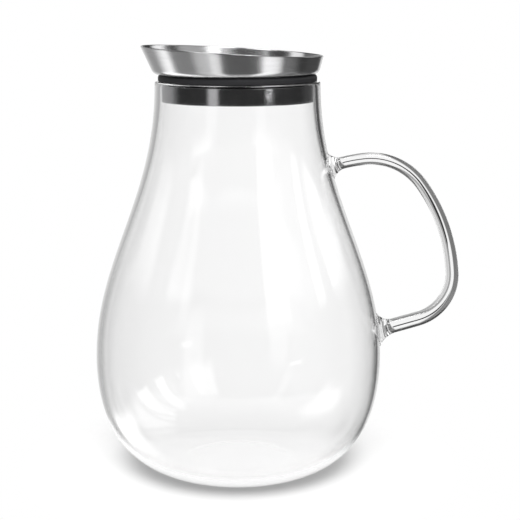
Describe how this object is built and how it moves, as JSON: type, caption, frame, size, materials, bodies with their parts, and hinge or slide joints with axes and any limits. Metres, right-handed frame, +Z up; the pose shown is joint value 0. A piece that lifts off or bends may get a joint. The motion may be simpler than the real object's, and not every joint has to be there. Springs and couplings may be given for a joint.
{
  "type": "glass pitcher with lid",
  "caption": "Pear-shaped clear glass pitcher with a fused glass rod handle and a flared steel pouring lid, sealed by silicone, whose weighted flap opens on pouring.",
  "frame": {"origin": "centre of the flat base disc, on the jug's upright axis", "axes": "+Z up along the jug's axis, -X towards the pouring lip, +X towards the handle"},
  "size_m": [0.1927, 0.1514, 0.2247],
  "materials": {
    "clear_glass": "clear blown borosilicate glass, fire polished",
    "brushed_steel": "spun stainless steel with a fine satin grain around it",
    "polished_steel": "polished stainless steel",
    "black_silicone": "black moulded silicone, satin",
    "turned_steel": "turned stainless steel with fine rings"
  },
  "bodies": {
    "jug": {"glass_body": "clear_glass", "handle": "clear_glass"},
    "lid": {"lid_bowl": "brushed_steel", "neck_sleeve": "polished_steel", "gasket": "black_silicone", "left_hinge_ear": "polished_steel", "right_hinge_ear": "polished_steel", "hinge_pin": "polished_steel"},
    "flap": {"flap": "brushed_steel", "flap_seal": "black_silicone", "counterweight": "turned_steel", "weight_screw": "turned_steel"}
  },
  "joints": [
    {"name": "lid_lift", "type": "slide", "parent": "jug", "child": "lid", "axis": [0, 0, 1], "range_m": [0, 0.06]},
    {"name": "flap_hinge", "type": "hinge", "parent": "lid", "child": "flap", "pos_m": [0.0151, 0, 0.2139], "axis": [0, 1, 0], "range_deg": [0, 75]}
  ]
}
